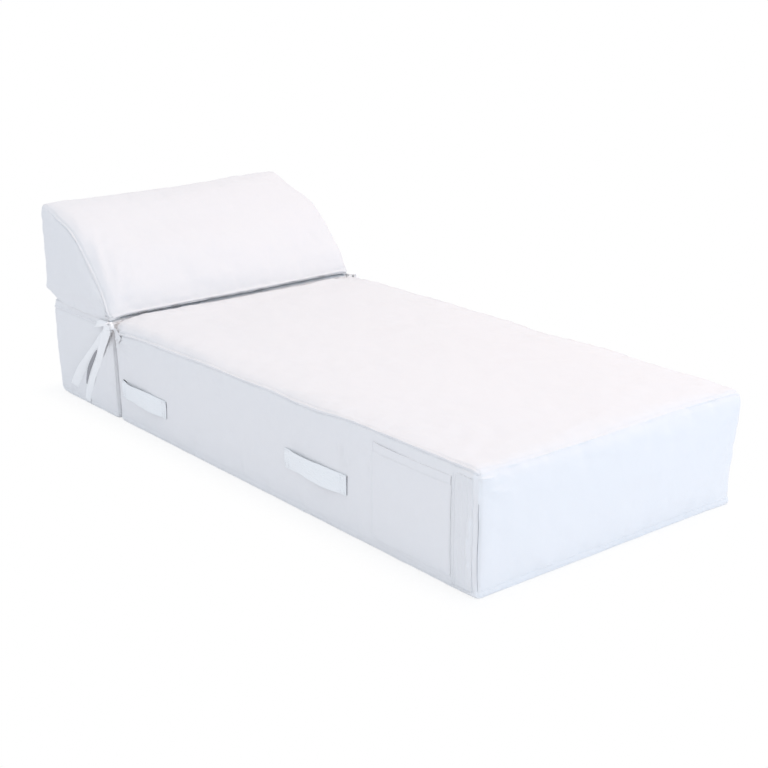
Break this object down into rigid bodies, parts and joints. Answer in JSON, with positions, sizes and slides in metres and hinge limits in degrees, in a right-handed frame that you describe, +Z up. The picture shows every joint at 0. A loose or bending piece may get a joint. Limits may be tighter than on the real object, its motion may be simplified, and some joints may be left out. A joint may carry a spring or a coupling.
{
  "type": "foam divan bed",
  "caption": "Low single divan bed of foam blocks in zipped canvas covers, with a wedge bolster tied on, webbing handles and a side pocket.",
  "frame": {"origin": "on the floor, under the middle of the whole bed's box", "axes": "+X towards the foot, +Y to the far side, away from the pocket, +Z up"},
  "size_m": [2.0706, 0.942, 0.6078],
  "materials": {
    "canvas": "white cotton canvas, plain weave, washed and slightly creased",
    "webbing": "white cotton webbing with a ribbed weave",
    "tie_tape": "white cotton tape, soft and creased",
    "lining": "undyed polyester lining",
    "foam": "open-cell polyurethane foam",
    "zip_tape": "woven polyester zip tape",
    "zip_teeth": "moulded white acetal",
    "zip_metal": "nickel-plated zinc"
  },
  "bodies": {
    "main_block": {"main_support_foam": "foam", "main_comfort_foam": "foam", "main_liner": "lining", "main_cover": "canvas", "main_base_panel": "lining", "main_zip_tapes": "zip_tape", "main_zip_teeth": "zip_teeth", "main_zip_stops": "zip_metal", "near_head_handle": "webbing", "near_foot_handle": "webbing", "far_head_handle": "webbing", "far_foot_handle": "webbing", "side_pocket": "canvas", "pocket_hem": "canvas", "corner_facing": "canvas", "near_tie_knot": "tie_tape", "near_tie_front_tail": "tie_tape", "near_tie_rear_tail": "tie_tape", "far_tie_knot": "tie_tape", "far_tie_front_tail": "tie_tape", "far_tie_rear_tail": "tie_tape", "main_tie_tabs": "tie_tape"},
    "head_block": {"head_support_foam": "foam", "head_comfort_foam": "foam", "head_liner": "lining", "head_cover": "canvas", "head_base_panel": "lining", "head_zip_tapes": "zip_tape", "head_zip_teeth": "zip_teeth", "head_zip_stops": "zip_metal", "head_tie_tabs": "tie_tape"},
    "bolster": {"bolster_foam": "foam", "bolster_liner": "lining", "bolster_cover": "canvas", "bolster_zip_tapes": "zip_tape", "bolster_zip_teeth": "zip_teeth", "bolster_zip_stops": "zip_metal", "bolster_tie_tabs": "tie_tape"},
    "main_slider": {"main_zip_slider": "zip_metal"},
    "main_pull": {"main_zip_pull": "zip_metal"},
    "head_slider": {"head_zip_slider": "zip_metal"},
    "head_pull": {"head_zip_pull": "zip_metal"},
    "bolster_slider": {"bolster_zip_slider": "zip_metal"},
    "bolster_pull": {"bolster_zip_pull": "zip_metal"}
  },
  "joints": [
    {"name": "head_fold", "type": "hinge", "parent": "main_block", "child": "head_block", "pos_m": [-0.59465, 0, 0.31], "axis": [0, 1, 0], "range_deg": [0, 45]},
    {"name": "bolster_tip", "type": "hinge", "parent": "head_block", "child": "bolster", "pos_m": [-0.62631, 0, 0.3293], "axis": [0, 1, 0], "range_deg": [0, 70]},
    {"name": "main_zip_slide", "type": "slide", "parent": "main_block", "child": "main_slider", "axis": [1, 0, 0], "range_m": [0, 0.9823]},
    {"name": "main_zip_pull_turn", "type": "hinge", "parent": "main_slider", "child": "main_pull", "pos_m": [-0.2718, 0.4588, 0.036], "axis": [0, 0, 1], "range_deg": [0, 180]},
    {"name": "head_zip_slide", "type": "slide", "parent": "head_block", "child": "head_slider", "axis": [0, 1, 0], "range_m": [0, 0.6823]},
    {"name": "head_zip_pull_turn", "type": "hinge", "parent": "head_slider", "child": "head_pull", "pos_m": [-0.99245, -0.34115, 0.036], "axis": [0, 0, 1], "range_deg": [0, 180]},
    {"name": "bolster_zip_slide", "type": "slide", "parent": "bolster", "child": "bolster_slider", "axis": [0, 1, 0], "range_m": [0, 0.6823]},
    {"name": "bolster_zip_pull_turn", "type": "hinge", "parent": "bolster_slider", "child": "bolster_pull", "pos_m": [-1.03345, -0.34115, 0.3713], "axis": [0, 0, 1], "range_deg": [0, 180]}
  ]
}
